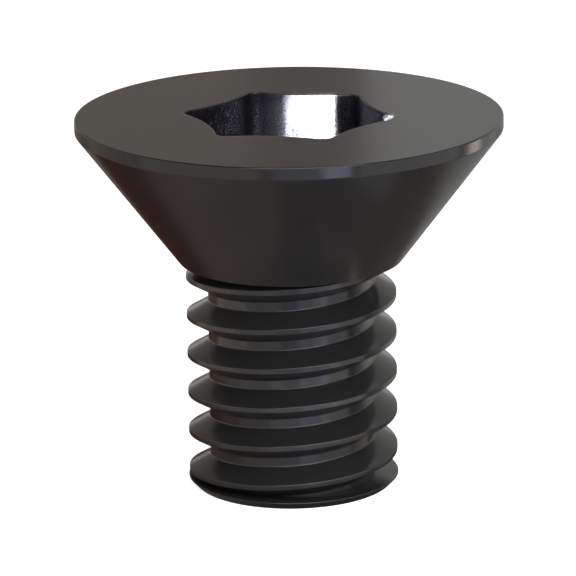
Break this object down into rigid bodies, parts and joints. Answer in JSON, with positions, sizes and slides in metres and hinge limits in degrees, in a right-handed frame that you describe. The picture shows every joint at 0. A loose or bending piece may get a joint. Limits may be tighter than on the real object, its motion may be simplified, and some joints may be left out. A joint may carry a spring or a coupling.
{
  "type": "screw",
  "caption": "Short flat head machine screw in blackened steel, with a conical seat, a six-lobe drive recess and a plain chamfered end.",
  "frame": {"origin": "centre of the flat end face, which the screw stands on", "axes": "+Z along the screw's axis, from the end to the head; -Y towards the viewer of the picture; +X to the viewer's right"},
  "size_m": [0.0084, 0.0084, 0.0075],
  "materials": {
    "steel": "black oxide, satin"
  },
  "bodies": {
    "root": {"screw": "steel"}
  },
  "joints": []
}
